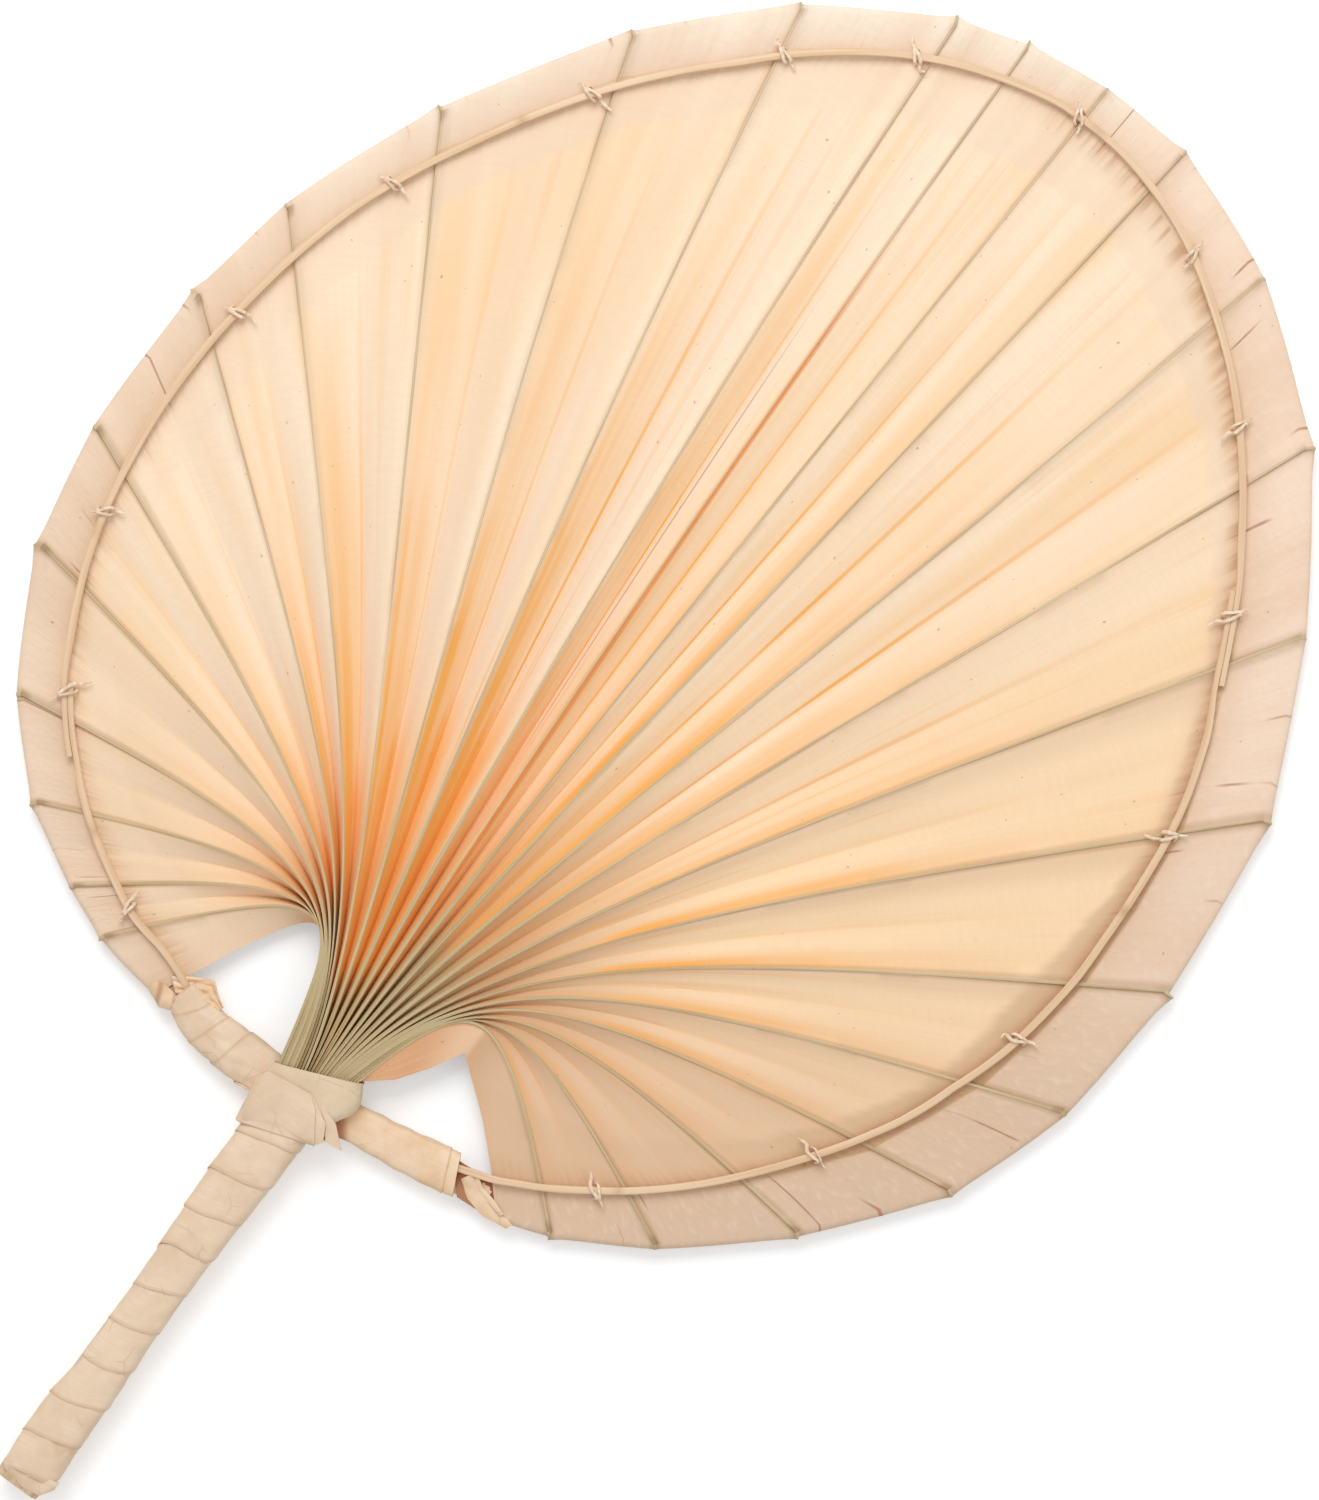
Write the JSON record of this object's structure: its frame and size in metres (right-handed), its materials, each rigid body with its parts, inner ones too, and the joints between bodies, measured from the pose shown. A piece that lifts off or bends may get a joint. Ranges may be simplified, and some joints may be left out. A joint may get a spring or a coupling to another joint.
{
  "type": "palm leaf fan",
  "caption": "Hand fan of one pleated palm leaf stitched over a hoop between splints, on a leaf-wrapped wooden handle.",
  "frame": {"origin": "bottom centre of the fan's box, where it lies face up", "axes": "+Y from the handle to the blade's tip, +X to the right seen from the front, +Z out of the front"},
  "size_m": [0.29, 0.425, 0.0132],
  "materials": {
    "leaf": "dry, fibrous",
    "strip": "dry, smooth",
    "splint": "split bamboo",
    "hoop": "split bamboo",
    "thread": "waxed thread",
    "stick": "bare wood"
  },
  "bodies": {
    "root": {"leaf_blade": "leaf", "rim_hoop": "hoop", "front_splint_left": "splint", "front_splint_main": "splint", "front_splint_right": "splint", "back_splint_left": "splint", "back_splint_right": "splint", "stitch_01": "thread", "stitch_02": "thread", "stitch_03": "thread", "stitch_04": "thread", "stitch_05": "thread", "stitch_06": "thread", "stitch_07": "thread", "stitch_08": "thread", "stitch_09": "thread", "stitch_10": "thread", "stitch_11": "thread", "stitch_12": "thread", "stitch_13": "thread", "stitch_14": "thread", "stitch_15": "thread", "stitch_16": "thread", "left_arm_wrap": "strip", "left_strip_end": "leaf", "right_arm_wrap": "strip", "right_rim_strip": "leaf", "neck_wrap_upper": "strip", "neck_wrap_lower": "strip", "neck_tail": "strip", "handle_stick": "stick", "handle_wrap": "strip"}
  },
  "joints": []
}
